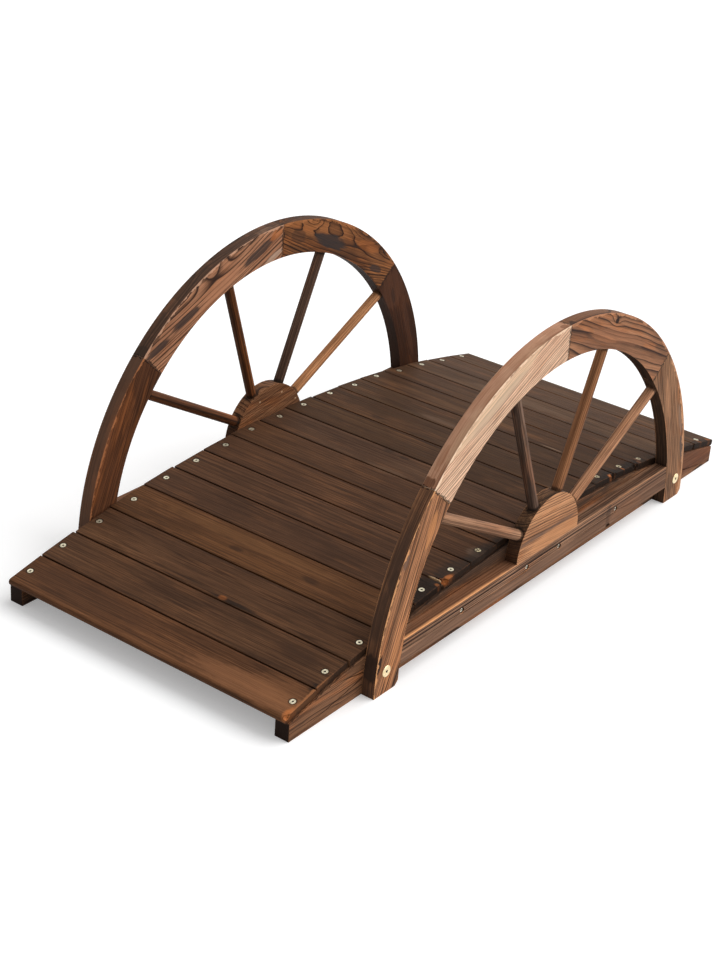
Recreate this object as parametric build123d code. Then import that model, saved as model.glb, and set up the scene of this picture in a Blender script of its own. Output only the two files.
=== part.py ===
from build123d import *
import math
import os

# Wooden garden bridge: a low arched deck between two half wheel railings.
# Millimetres. X runs along the walk, Y across it, Z up, the floor is Z = 0.

# deck boards, counted from the near end, each width includes its gap
board_pitches = (86.5, 86, 96.5, 97, 85.5, 88, 87.5, 89, 88.5, 88.5, 92.5, 82, 88.5, 90.5, 87.5, 87.5, 92.5)
board_thickness = 14.4
board_gap = 2.6
board_length = 668.0
board_slips = (0, 1, -2, 1, 2, -1, 0, 2, -1, 1, -2, 0, 1, -1, 2, 0, -1)
nose_radius = 6.0
edge_break = 1.2

# side beams with a flat foot line and an arched back
beam_length = 1500.0
beam_thickness = 31.5
beam_end_height = 37.4
beam_rise = 87.5
beam_outer_face = 338.2

# half wheels, bolted to the outer faces of the beams
wheel_centre = (3.4, 9.7)
wheel_outer_radius = 550.0
wheel_inner_radius = 478.5
wheel_thickness = 27.6
joint_angles = {"right": (42.3, 91.0, 139.3), "left": (41.0, 88.7, 136.5)}
joint_gap = 0.4

# feet, far one first, and how far each stands out from the round of the wheel at the floor
foot_spreads = {"right": (9.0, 0.0), "left": (0.0, 0.0)}
foot_corner = 9.0
foot_bolt_height = 46.0
foot_bolt_radius = 4.5
foot_bolt_inset = 32.0

# arcs of the end pieces run this far below the wheel centre before the floor cut
foot_overrun = 2.0
middle_spread_share = 0.42

# straight rail between the two feet of a wheel
rail_bottom = 38.5
rail_height = 53.3
rail_end_gap = 0.5
rail_hole_positions = (-282.0, -61.0, 55.0, 274.0)
rail_hole_height = 69.0
rail_counterbore_radius = 6.0
rail_counterbore_depth = 9.0
rail_pilot_radius = 2.5

# half round hub standing on the rail
hub_radii = {"right": 109.5, "left": 112.0}
hub_middles = {"right": 7.0, "left": -1.0}
hub_hole_depth = 26.0

# round spokes seated in blind holes of the hub and of the rim
spoke_radius = 10.7
hole_clearance = 0.6
seat_gap = 1.0
hub_angles = {"right": (31.0, 72.8, 116.9, 150.2), "left": (34.7, 68.4, 114.8, 149.5)}
rim_angles = {"right": (37.7, 72.0, 109.7, 142.8), "left": (37.9, 70.8, 107.2, 142.2)}
rim_hole_depth = 16.0

# everything below follows from the numbers above
deck_length = float(sum(board_pitches))
half_beam = beam_length / 2
arch_radius = (half_beam ** 2 + beam_rise ** 2) / (2 * beam_rise)
arch_centre_z = beam_end_height + beam_rise - arch_radius
rail_top = rail_bottom + rail_height
wheel_middle = beam_outer_face + wheel_thickness / 2
side_signs = {"right": -1, "left": 1}


def arch_height(x):
    """Height of the beam back above the floor at a place along the walk."""
    return arch_centre_z + math.sqrt(arch_radius ** 2 - x ** 2)


def save(shape, name):
    export_step(shape, "parts/" + name + ".step")


def extruded_across(profile, middle, thickness):
    """A profile drawn in X and Z, made solid across the walk about a middle line."""
    plane = Plane(origin=(0, middle, 0), x_dir=(1, 0, 0), z_dir=(0, -1, 0))
    return extrude(plane * profile, amount=thickness / 2, both=True)


def across_cylinder(x, z, radius, start, end):
    """A cylinder along Y from one depth to another."""
    middle = (start + end) / 2
    length = abs(end - start)
    return Location((x, middle, z), (90, 0, 0)) * Cylinder(radius, length)


def side_beam(side, sign):
    """Solid beam: flat underneath, back cut to the deck arch, with two bolt holes."""
    with BuildSketch() as profile:
        with BuildLine():
            Polyline(
                (-half_beam, beam_end_height),
                (-half_beam, 0),
                (half_beam, 0),
                (half_beam, beam_end_height),
            )
            ThreePointArc(
                (half_beam, beam_end_height),
                (0, beam_end_height + beam_rise),
                (-half_beam, beam_end_height),
            )
        make_face()
    middle = sign * (beam_outer_face - beam_thickness / 2)
    beam = extruded_across(profile.sketch, middle, beam_thickness)
    inner = sign * (beam_outer_face - beam_thickness)
    outer = sign * beam_outer_face
    for bolt_x in foot_bolt_places(side):
        beam -= across_cylinder(bolt_x, foot_bolt_height, foot_bolt_radius, inner - sign, outer + sign)
    return beam


def foot_bolt_places(side):
    """Far bolt, then near bolt, both a set way in from the outer edge of their foot."""
    reach = wheel_outer_radius - foot_bolt_inset
    far_spread, near_spread = foot_spreads[side]
    return (wheel_centre[0] + reach + far_spread, wheel_centre[0] - reach - near_spread)


def board_spans():
    """Start and end of every board along X, near end first."""
    spans = []
    start = -deck_length / 2
    for pitch in board_pitches:
        spans.append((start, start + pitch))
        start += pitch
    return spans


def deck_board(number, span, slip):
    """One flat board laid on the arch, with broken edges; the end boards have a round nose."""
    start, end = span
    middle_x = (start + end) / 2
    lean = math.asin(middle_x / arch_radius)
    width = (end - start) / math.cos(lean) - board_gap
    board = Box(width, board_length, board_thickness, align=(Align.CENTER, Align.CENTER, Align.MIN))
    long_edges = board.edges().filter_by(Axis.Y)
    first = number == 1
    last = number == len(board_pitches)
    if first or last:
        outer_edges = long_edges.sort_by(Axis.X)[:2] if first else long_edges.sort_by(Axis.X)[-2:]
        board = fillet(outer_edges, nose_radius)
        upper_inner = board.edges().filter_by(Axis.Y).sort_by(Axis.X)
        upper_inner = upper_inner[-2:] if first else upper_inner[:2]
        board = chamfer(upper_inner.sort_by(Axis.Z)[-1], edge_break)
    else:
        board = chamfer(long_edges.sort_by(Axis.Z)[-2:], edge_break)
    return Location((middle_x, slip, arch_height(middle_x)), (0, math.degrees(lean), 0)) * board


def polar(radius, angle):
    """Point of a wheel in its own plane, seen from outside the near railing."""
    turn = math.radians(angle)
    return (wheel_centre[0] + radius * math.cos(turn), wheel_centre[1] + radius * math.sin(turn))


def hub_point(side, radius, angle):
    turn = math.radians(angle)
    return (hub_middles[side] + radius * math.cos(turn), rail_top + radius * math.sin(turn))


def spoke_ends(side, index):
    """Where a spoke leaves the hub and meets the rim, and its direction."""
    hub_x, hub_z = hub_point(side, hub_radii[side], hub_angles[side][index])
    rim_x, rim_z = polar(wheel_inner_radius, rim_angles[side][index])
    run = math.hypot(rim_x - hub_x, rim_z - hub_z)
    direction = ((rim_x - hub_x) / run, (rim_z - hub_z) / run)
    return (hub_x, hub_z), (rim_x, rim_z), direction


def rod_between(start, end, middle, radius):
    """A round rod between two points of the wheel plane."""
    length = math.hypot(end[0] - start[0], end[1] - start[1])
    plane = Plane(
        origin=(start[0], middle, start[1]),
        z_dir=(end[0] - start[0], 0, end[1] - start[1]),
    )
    return extrude(plane * Circle(radius), amount=length)


def along(point, direction, distance):
    return (point[0] + direction[0] * distance, point[1] + direction[1] * distance)


def spoke_holes(side, index, sign):
    """The two cylinders that the hub and the rim lose for one spoke."""
    hub_end, rim_end, direction = spoke_ends(side, index)
    middle = sign * wheel_middle
    radius = spoke_radius + hole_clearance
    in_hub = rod_between(along(hub_end, direction, -hub_hole_depth), along(hub_end, direction, 15), middle, radius)
    in_rim = rod_between(along(rim_end, direction, -15), along(rim_end, direction, rim_hole_depth), middle, radius)
    return in_hub, in_rim


def spoke(side, index, sign):
    hub_end, rim_end, direction = spoke_ends(side, index)
    start = along(hub_end, direction, seat_gap - hub_hole_depth)
    end = along(rim_end, direction, rim_hole_depth - seat_gap)
    return rod_between(start, end, sign * wheel_middle, spoke_radius)


def felloe_limits(side):
    """Start and end angle of the four rim pieces, with a hairline left at each joint."""
    marks = (-foot_overrun,) + joint_angles[side] + (180.0 + foot_overrun,)
    hairline = math.degrees(joint_gap / 2 / wheel_outer_radius)
    limits = []
    for index in range(4):
        low = marks[index] + (hairline if index > 0 else 0)
        high = marks[index + 1] - (hairline if index < 3 else 0)
        limits.append((low, high))
    return limits


def felloe_arc(radius, angles, spreads):
    """Arc of a rim piece through three angles, each point moved out along X by its spread."""
    points = []
    for angle, spread in zip(angles, spreads):
        x, z = polar(radius, angle)
        points.append((x + spread, z))
    return points


def felloe_profile(side, index, inner_radius):
    """Outline of one rim piece in the wheel plane, with its foot spread."""
    low, high = felloe_limits(side)[index]
    angles = (low, (low + high) / 2, high)
    spreads = (0, 0, 0)
    if index == 0:
        spread = foot_spreads[side][0]
        spreads = (spread, spread * middle_spread_share, 0)
    if index == 3:
        spread = -foot_spreads[side][1]
        spreads = (0, spread * middle_spread_share, spread)
    outer_points = felloe_arc(wheel_outer_radius, angles, spreads)
    inner_points = felloe_arc(inner_radius, angles, spreads)
    with BuildSketch() as profile:
        with BuildLine():
            ThreePointArc(*outer_points)
            Line(outer_points[2], inner_points[2])
            ThreePointArc(*inner_points)
            Line(inner_points[0], outer_points[0])
        make_face()
    return profile.sketch


def felloe(side, index, sign):
    """One curved rim piece; the end pieces are sawn off at the floor and serve as feet."""
    low, high = felloe_limits(side)[index]
    profile = felloe_profile(side, index, wheel_inner_radius)
    piece = extruded_across(profile, sign * wheel_middle, wheel_thickness)
    for spoke_index in range(4):
        hub_hole, rim_hole = spoke_holes(side, spoke_index, sign)
        if low < rim_angles[side][spoke_index] < high:
            piece -= rim_hole
    if index in (0, 3):
        size = 3 * wheel_outer_radius
        piece -= Box(size, size, size, align=(Align.CENTER, Align.CENTER, Align.MAX))
        toe = piece.edges().filter_by(Axis.Y).sort_by(Axis.Z)[:2].sort_by(Axis.X)[-1]
        piece = chamfer(toe, foot_corner)
        bolt_x = foot_bolt_places(side)[0 if index == 0 else 1]
        inner = sign * beam_outer_face
        outer = sign * (beam_outer_face + wheel_thickness)
        piece -= across_cylinder(bolt_x, foot_bolt_height, foot_bolt_radius, inner - sign, outer + sign)
    return piece


def hub(side, sign):
    """Half round block with four blind spoke holes."""
    radius = hub_radii[side]
    left_end = hub_point(side, radius, 180)
    right_end = hub_point(side, radius, 0)
    with BuildSketch() as profile:
        with BuildLine():
            ThreePointArc(right_end, hub_point(side, radius, 90), left_end)
            Line(left_end, right_end)
        make_face()
    piece = extruded_across(profile.sketch, sign * wheel_middle, wheel_thickness)
    for index in range(4):
        hub_hole, rim_hole = spoke_holes(side, index, sign)
        piece -= hub_hole
    return piece


def bottom_rail(side, sign):
    """Straight rail, its ends coped to the feet, with four counterbored screw holes."""
    reach = wheel_inner_radius + 20
    middle = sign * wheel_middle
    bar = Pos(wheel_centre[0], middle, rail_bottom + rail_height / 2)
    bar = bar * Box(2 * reach, wheel_thickness, rail_height)
    for index in (0, 3):
        foot_profile = felloe_profile(side, index, wheel_inner_radius - rail_end_gap)
        bar -= extruded_across(foot_profile, middle, wheel_thickness + 2)
    outer = sign * (beam_outer_face + wheel_thickness)
    inner = sign * beam_outer_face
    for place in rail_hole_positions:
        step = outer - sign * rail_counterbore_depth
        bar -= across_cylinder(place, rail_hole_height, rail_counterbore_radius, step, outer + sign)
        bar -= across_cylinder(place, rail_hole_height, rail_pilot_radius, inner - sign, outer + sign)
    return bar


os.makedirs("parts", exist_ok=True)

for number, (span, slip) in enumerate(zip(board_spans(), board_slips), start=1):
    save(deck_board(number, span, slip), "deck_board_%02d" % number)

for side, sign in side_signs.items():
    save(side_beam(side, sign), "side_beam_" + side)
    save(bottom_rail(side, sign), "bottom_rail_" + side)
    save(hub(side, sign), "wheel_hub_" + side)
    for index in range(4):
        save(felloe(side, index, sign), "felloe_%s_%d" % (side, index + 1))
        save(spoke(side, index, sign), "spoke_%s_%d" % (side, index + 1))
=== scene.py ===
from collections import namedtuple
from math import asin, cos, pi, radians, sin, sqrt, tan
import bmesh
import bpy
from mathutils import Matrix, Vector, noise


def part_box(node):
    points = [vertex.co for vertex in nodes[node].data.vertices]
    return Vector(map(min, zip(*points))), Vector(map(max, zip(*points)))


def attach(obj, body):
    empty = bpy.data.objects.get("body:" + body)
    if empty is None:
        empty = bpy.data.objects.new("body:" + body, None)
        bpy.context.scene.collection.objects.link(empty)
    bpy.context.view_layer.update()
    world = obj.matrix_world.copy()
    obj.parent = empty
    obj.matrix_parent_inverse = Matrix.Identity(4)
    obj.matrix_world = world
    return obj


# Wooden garden bridge with two half wheel railings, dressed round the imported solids.
# Lengths named here are millimetres and turn into metres where a mesh or a material is made; only the
# camera's place is in metres.
# Tones named here are display colours, 0 to 255 a channel.
# X runs along the walk, Y across it, Z up. Angles of the wheels turn from +X up to +Z.

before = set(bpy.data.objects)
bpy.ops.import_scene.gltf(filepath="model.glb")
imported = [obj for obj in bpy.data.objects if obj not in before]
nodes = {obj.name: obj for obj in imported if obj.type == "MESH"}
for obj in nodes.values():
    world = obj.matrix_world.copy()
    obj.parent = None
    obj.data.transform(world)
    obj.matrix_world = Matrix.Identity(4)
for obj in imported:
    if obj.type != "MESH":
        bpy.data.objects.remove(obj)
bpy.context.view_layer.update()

scene = bpy.context.scene
MM = 0.001

# sizes shared with the solids
board_pitches = (86.5, 86, 96.5, 97, 85.5, 88, 87.5, 89, 88.5, 88.5, 92.5, 82, 88.5, 90.5, 87.5, 87.5, 92.5)
board_thickness = 14.4
half_beam = 750.0
beam_end_height = 37.4
beam_rise = 87.5
beam_outer_face = 338.2
beam_thickness = 31.5
wheel_thickness = 27.6
wheel_centre = (3.4, 9.7)
wheel_outer_radius = 550.0
wheel_inner_radius = 478.5
joint_angles = {"right": (42.3, 91.0, 139.3), "left": (41.0, 88.7, 136.5)}
foot_bolt_places = {"right": (530.4, -514.6), "left": (521.4, -514.6)}
foot_bolt_height = 46.0
rail_bottom = 38.5
rail_height = 53.3
rail_hole_positions = (-282.0, -61.0, 55.0, 274.0)
rail_hole_height = 69.0
rail_counterbore_depth = 9.0
hub_radii = {"right": 109.5, "left": 112.0}
hub_middles = {"right": 7.0, "left": -1.0}
hub_angles = {"right": (31.0, 72.8, 116.9, 150.2), "left": (34.7, 68.4, 114.8, 149.5)}
side_signs = {"right": -1, "left": 1}

# deck screws, near end first: place along the walk, then how far out on each side
screw_places = (
    -718, -630, -536, -442.5, -347, -260.5, -173, -84, 5, 89.5, 183.5, 268.5, 358, 439, 532, 616.5, 708,
)
screw_reach = {
    "left": (318, 320.5, 317, 314, 316.5, 314.5, 312, 318, 315.5, 318, 319.5, 316, 322, 316, 318, 318, 322.5),
    "right": (
        317.5, 316.5, 318, 317, 314.5, 318, 319, 317, 317, 317, 317, 314.5, 315.5, 317.5, 317, 317, 318,
    ),
}

arch_radius = (half_beam ** 2 + beam_rise ** 2) / (2 * beam_rise)
arch_centre_z = beam_end_height + beam_rise - arch_radius
wheel_middle = beam_outer_face + wheel_thickness / 2
wheel_face = beam_outer_face + wheel_thickness
rim_middle = (wheel_outer_radius + wheel_inner_radius) / 2
rail_top = rail_bottom + rail_height


def arch_height(x):
    """Height of the beams' back, which the boards lie on."""
    return arch_centre_z + sqrt(arch_radius ** 2 - x ** 2)


class Board:
    """Place of one deck board, which lies flat on the arch."""

    def __init__(self, number, start, pitch):
        self.number = number
        self.start = start
        self.end = start + pitch
        self.middle = start + pitch / 2
        self.lean = asin(self.middle / arch_radius)
        self.forward = Vector((cos(self.lean), 0, -sin(self.lean)))
        self.normal = Vector((sin(self.lean), 0, cos(self.lean)))
        self.foot = Vector((self.middle, 0, arch_height(self.middle)))
        self.centre = self.foot + self.normal * board_thickness / 2
        self.axes = ((0, -1, 0), self.forward, self.normal)

    def ahead(self, x):
        """Distance along the board's face from its middle to a place x along the walk."""
        return (x - self.middle - sin(self.lean) * board_thickness) / cos(self.lean)

    def top(self, x, y):
        """Point on the upper face."""
        point = self.foot + self.normal * board_thickness + self.forward * self.ahead(x)
        return Vector((point.x, y, point.z))


boards = []
board_start = -sum(board_pitches) / 2
for board_number, board_pitch in enumerate(board_pitches, start=1):
    boards.append(Board(board_number, board_start, board_pitch))
    board_start += board_pitch


def linear(tone, tint=(1.0, 1.0, 1.0)):
    """The linear colour that a shader takes for a display tone, each channel then scaled by the tint."""
    channels = []
    for value, factor in zip(tone, tint):
        part = value / 255
        channels.append(factor * (part / 12.92 if part <= 0.04045 else ((part + 0.055) / 1.055) ** 2.4))
    return (*channels, 1.0)


def shade(tone, factor):
    """The same linear colour, lighter or darker."""
    return (min(1.0, tone[0] * factor), min(1.0, tone[1] * factor), min(1.0, tone[2] * factor), 1.0)


def set_all(thing, settings):
    for name, value in settings.items():
        setattr(thing, name, value)


class Graph:
    """Adds shader nodes to one tree and links them in a short form."""

    def __init__(self, tree):
        self.tree = tree

    def put(self, socket, value):
        if isinstance(value, bpy.types.NodeSocket):
            self.tree.links.new(value, socket)
        else:
            socket.default_value = value

    def node(self, kind, sockets=None, **settings):
        """A new shader node with its options set and its inputs, by name or number, set or linked."""
        made = self.tree.nodes.new("ShaderNode" + kind)
        set_all(made, settings)
        for name, value in (sockets or {}).items():
            self.put(made.inputs[name], value)
        return made

    def maths(self, operation, *values):
        return self.node("Math", dict(enumerate(values)), operation=operation).outputs[0]

    def plus(self, first, *others):
        for value in others:
            first = self.maths("ADD", first, value)
        return first

    def minus(self, first, second):
        return self.maths("SUBTRACT", first, second)

    def times(self, first, *others):
        for value in others:
            first = self.maths("MULTIPLY", first, value)
        return first

    def over(self, first, second):
        return self.maths("DIVIDE", first, second)

    def absolute(self, value):
        return self.maths("ABSOLUTE", value)

    def hypotenuse(self, first, second):
        """Length of the longest side of a right triangle."""
        return self.maths("SQRT", self.plus(self.times(first, first), self.times(second, second)))

    def vector_maths(self, operation, *values):
        return self.node("VectorMath", dict(enumerate(values)), operation=operation).outputs[0]

    def scaled(self, place, factors):
        return self.vector_maths("MULTIPLY", place, factors)

    def moved(self, place, shift):
        return self.vector_maths("ADD", place, shift)

    def dot(self, first, second):
        made = self.node("VectorMath", {0: first, 1: second}, operation="DOT_PRODUCT")
        return made.outputs["Value"]

    def mix(self, factor, first, second, blend="MIX"):
        sockets = {0: factor, 6: first, 7: second}
        return self.node("Mix", sockets, data_type="RGBA", blend_type=blend).outputs[2]

    def fade(self, value, start, end, low=0.0, high=1.0):
        """Goes smoothly from low to high while the value goes from start to end."""
        sockets = dict(enumerate((value, start, end, low, high)))
        return self.node("MapRange", sockets, interpolation_type="SMOOTHSTEP").outputs[0]

    def noise(self, place, detail=2.0, roughness=0.5):
        sockets = {"Vector": place, "Scale": 1.0, "Detail": detail, "Roughness": roughness}
        return self.node("TexNoise", sockets).outputs[0]

    def split(self, place):
        return tuple(self.node("SeparateXYZ", {0: place}).outputs)

    def join(self, x, y, z):
        return self.node("CombineXYZ", {0: x, 1: y, 2: z}).outputs[0]

    def stops(self, value, marks):
        """A ramp through (place, grey) marks."""
        made = self.node("ValToRGB", {0: value})
        ramp = made.color_ramp
        while len(ramp.elements) < len(marks):
            ramp.elements.new(0.5)
        for element, (place, grey) in zip(ramp.elements, marks):
            element.position = place
            element.color = (grey, grey, grey, 1)
        return made.outputs[0]


def new_material(name):
    """An empty material and the graph of its nodes."""
    material = bpy.data.materials.new(name)
    material.use_nodes = True
    material.node_tree.nodes.clear()
    return material, Graph(material.node_tree)


def new_group(name, inputs, outputs):
    """An empty shader group with its inputs' default values, numbers or vectors, and its named outputs."""
    number = "NodeSocketFloat"
    group = bpy.data.node_groups.new(name, "ShaderNodeTree")
    for title, value in inputs.items():
        kind = "NodeSocketVector" if isinstance(value, tuple) else number
        group.interface.new_socket(title, in_out="INPUT", socket_type=kind).default_value = value
    for title in outputs:
        group.interface.new_socket(title, in_out="OUTPUT", socket_type=number)
    given = group.nodes.new("NodeGroupInput").outputs
    result = group.nodes.new("NodeGroupOutput").inputs
    return group, Graph(group), given, result


# how dark one growth ring is from its start to its end
ring_profile = (
    (0.0, 0.1), (0.08, 0.02), (0.45, 0.1), (0.72, 0.42), (0.88, 0.92), (0.94, 1.0), (0.985, 0.5), (1.0, 0.1),
)
knot_names = ("Knot A", "Knot B", "Knot C")


def build_ring_group():
    """Growth rings of a sawn board: dark latewood lines round a pith that lies off the piece."""
    inputs = {
        "Place": (0, 0, 0), "Seed": 0.0, "Spacing": 5.0, "Pith Across": 0.0, "Pith Depth": -30.0,
        "Slope Across": 0.0, "Slope Depth": 0.0, "Bow": 0.0, "Waver": 4.0,
    }
    for name in knot_names:
        inputs.update({name: (0, 0, 0), name + " Radius": 0.01, name + " Core": 0.0})
    outputs = ("Late", "Band", "Line", "Fibre", "Blotch", "Drift", "Knot")
    group, g, given, result = new_group("growth_rings", inputs, outputs)
    place = given["Place"]
    seed = given["Seed"]
    u, v, w = g.split(place)
    seed_shift = g.join(g.times(seed, 37.1), g.times(seed, 11.7), g.times(seed, 23.3))

    def stretched(along, across, shift=0.0):
        """The place with its own scale along the grain and across it."""
        moved = g.moved(g.scaled(place, (along, across, across)), seed_shift)
        return g.moved(moved, (shift, shift * 0.7, shift * 0.3))

    def swing(value, amount):
        return g.times(g.minus(value, 0.5), g.times(given["Waver"], amount))

    # distance from the wavering pith
    across = g.minus(v, given["Pith Across"])
    across = g.minus(across, g.times(given["Slope Across"], u))
    across = g.plus(across, swing(g.noise(stretched(0.0035, 0.011), detail=1.5), 4.0))
    bowed = g.times(u, u, g.times(given["Bow"], 0.0001))
    depth = g.minus(w, given["Pith Depth"])
    depth = g.minus(depth, g.times(given["Slope Depth"], u))
    ripple = swing(g.noise(stretched(0.014, 0.06), detail=2.0), 0.9)
    wave = swing(g.noise(stretched(0.0028, 0.006, 41.0), detail=1.0), 3.0)
    distance = g.hypotenuse(across, g.plus(depth, bowed, ripple, wave))

    # knots push the rings aside
    knot_total = 0.0
    for name in knot_names:
        knot_u, knot_v = g.split(given[name])[:2]
        radius = given[name + " Radius"]
        off_u = g.minus(u, knot_u)
        off_v = g.minus(v, knot_v)
        reach_u = g.over(off_u, g.times(radius, 3.0))
        reach_v = g.over(off_v, g.times(radius, 1.5))
        reach = g.plus(g.times(reach_u, reach_u), g.times(reach_v, reach_v))
        swell = g.maths("EXPONENT", g.times(reach, -1.0))
        distance = g.plus(distance, g.times(swell, g.times(radius, 1.5)))
        core = g.hypotenuse(g.over(off_u, radius), g.over(off_v, g.times(radius, 0.75)))
        core_mask = g.times(g.fade(core, 1.15, 0.7), given[name + " Core"])
        knot_total = g.maths("MAXIMUM", knot_total, core_mask)

    # rings of uneven width, each with its own tone
    turns = g.over(distance, given["Spacing"])
    uneven_place = g.plus(g.times(turns, 0.45), seed)
    sockets = {"W": uneven_place, "Scale": 1.0, "Detail": 1.0}
    uneven = g.node("TexNoise", sockets, noise_dimensions="1D")
    turns = g.plus(turns, g.times(uneven.outputs[0], 2.2))
    band_place = g.plus(g.maths("FLOOR", turns), g.times(seed, 7.3))
    band = g.node("TexWhiteNoise", {"W": band_place}, noise_dimensions="1D")

    fibre = g.noise(stretched(0.018, 0.75), detail=3.0, roughness=0.6)
    hair = g.noise(stretched(0.05, 2.6), detail=1.0)
    contour = g.noise(stretched(0.0012, 0.05, 57.0), detail=1.5, roughness=0.6)
    contour = g.maths("FRACT", g.times(contour, 9.0))

    g.put(result["Late"], g.stops(g.maths("FRACT", turns), ring_profile))
    g.put(result["Band"], band.outputs[0])
    g.put(result["Line"], g.fade(g.absolute(g.minus(contour, 0.5)), 0.05, 0.3, 1.0, 0.0))
    g.put(result["Fibre"], g.plus(g.times(fibre, 0.7), g.times(hair, 0.3)))
    g.put(result["Blotch"], g.noise(stretched(0.0045, 0.016), detail=2.5, roughness=0.55))
    g.put(result["Drift"], g.noise(stretched(0.007, 0.035, 17.0), detail=3.0, roughness=0.6))
    g.put(result["Knot"], knot_total)
    return group


def build_spot_group():
    """A soft edged patch round one place, ragged along the grain."""
    inputs = {
        "Place": (0, 0, 0), "Centre": (0, 0, 0), "Reach": (10, 10, 10),
        "Seed": 0.0, "Ragged": 0.8, "Soft": 0.4,
    }
    group, g, given, result = new_group("ragged_spot", inputs, ("Mask",))
    offset = g.vector_maths("SUBTRACT", given["Place"], given["Centre"])
    offset = g.vector_maths("DIVIDE", offset, given["Reach"])
    length = g.node("VectorMath", {0: offset}, operation="LENGTH").outputs["Value"]
    shift = g.join(g.times(given["Seed"], 5.3), given["Seed"], 0.0)
    swing = g.minus(g.noise(g.moved(g.scaled(given["Place"], (0.03, 0.13, 0.13)), shift), detail=3.0), 0.5)
    reach = g.plus(length, g.times(swing, g.times(given["Ragged"], 2.0)))
    g.put(result["Mask"], g.fade(reach, g.plus(1.0, given["Soft"]), g.minus(1.0, given["Soft"])))
    return group


ring_group = build_ring_group()
spot_group = build_spot_group()

# tones of torched and brushed fir
CHAR = (30, 25, 22)
SOOT = (50, 42, 37)
BLUE_CHAR = (58, 50, 48)
TORN = (196, 118, 66)
ORANGE = (190, 112, 60)
PALE = (214, 178, 138)
GREY = (132, 112, 98)
wood_gloss = 0.05
grain_relief = 0.3
arris_radius = 1.7
smoky_edge_radius = 5.0

# one patch of another tone on a piece, in the piece's own millimetres
Spot = namedtuple("Spot", "tone centre reach strength ragged soft", defaults=(0.8, 0.8, 0.4))

# a bent piece's own coordinates: distance from the wheel's centre, angle from the piece's middle, how far the
# surface is one of the two curved ones, and the place that its grain is read at
Bend = namedtuple("Bend", "radius angle curved place")


def bent_place(g, place, facing):
    """The Bend of a rim piece; on its curved surfaces the lines follow the wheel."""
    u, v, w = g.split(place)
    outward = g.plus(v, rim_middle)
    angle = g.maths("ARCTAN2", u, outward)
    curved = g.fade(g.absolute(facing), 0.6, 0.4)
    wrapped = g.join(g.times(angle, rim_middle), 12.0, g.times(w, 1.6))
    blend = g.node("Mix", {0: curved, 4: place, 5: wrapped}, data_type="VECTOR")
    return Bend(g.hypotenuse(u, outward), angle, curved, blend.outputs[1])


def scorched_rim(g, tone, place, fibre, bend, rim, scorch, seed):
    """Even scorch on the curved surfaces, and ragged tongues of it that lick over the face."""
    outer_strength, outer_reach, inner_strength, inner_reach = rim
    outside = g.fade(bend.radius, rim_middle - 2, rim_middle + 2)
    even = g.times(bend.curved, g.fade(outside, 0.0, 1.0, inner_strength, outer_strength))
    tone = g.mix(g.times(even, g.fade(fibre, 0.32, 0.62, 1.0, 0.8)), tone, scorch)
    flame = g.noise(g.moved(g.scaled(place, (0.013, 0.1, 0.02)), (seed, 0, 0)), detail=3.0)
    tongue = g.fade(flame, 0.36, 0.68)
    for edge, inward, reach, strength in (
        (wheel_outer_radius, -1, outer_reach, outer_strength),
        (wheel_inner_radius, 1, inner_reach, inner_strength),
    ):
        if reach:
            depth = g.times(g.minus(bend.radius, edge), inward)
            licked = g.fade(g.minus(g.times(tongue, reach), depth), -1.5, 2.5, 0.0, strength)
            tone = g.mix(g.times(licked, g.fade(fibre, 0.34, 0.6, 1.0, 0.7)), tone, scorch)
    return tone


def dark_seams(g, tone, place, bend, half_span, seams):
    """Chipped dark lines at the two ends of a rim piece."""
    chip = g.noise(g.scaled(place, (0.16, 0.16, 0.16)), detail=3.0)
    width = g.fade(chip, 0.35, 0.7, 0.6, 5.0)
    gap = g.times(g.minus(half_span, g.absolute(bend.angle)), rim_middle)
    seam = g.fade(g.minus(width, gap), -0.5, 0.8)
    return g.mix(g.times(seam, g.fade(bend.angle, -0.01, 0.01, *seams)), tone, linear(CHAR))


def rubbed_rim(g, tone, place, fibre, bend, strength, rub):
    """Pale nibbled line along the outer arris of a rim piece."""
    nibble = g.noise(g.scaled(place, (0.045, 0.02, 0.02)), detail=4.0, roughness=0.65)
    width = g.fade(nibble, 0.36, 0.66, 0.0, 7.0)
    inside = g.minus(wheel_outer_radius, bend.radius)
    rubbed = g.fade(g.minus(width, inside), -0.6, 1.2, 0.0, strength)
    rubbed = g.times(rubbed, g.minus(1.0, bend.curved), g.fade(fibre, 0.3, 0.6, 0.6, 1.0))
    return g.mix(rubbed, tone, rub)


def edge_bend(g, radius, normal):
    """1 on flat surfaces, less near an arris."""
    rounded = g.node("Bevel", {"Radius": radius * MM}, samples=3)
    return g.dot(rounded.outputs[0], normal)


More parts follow.
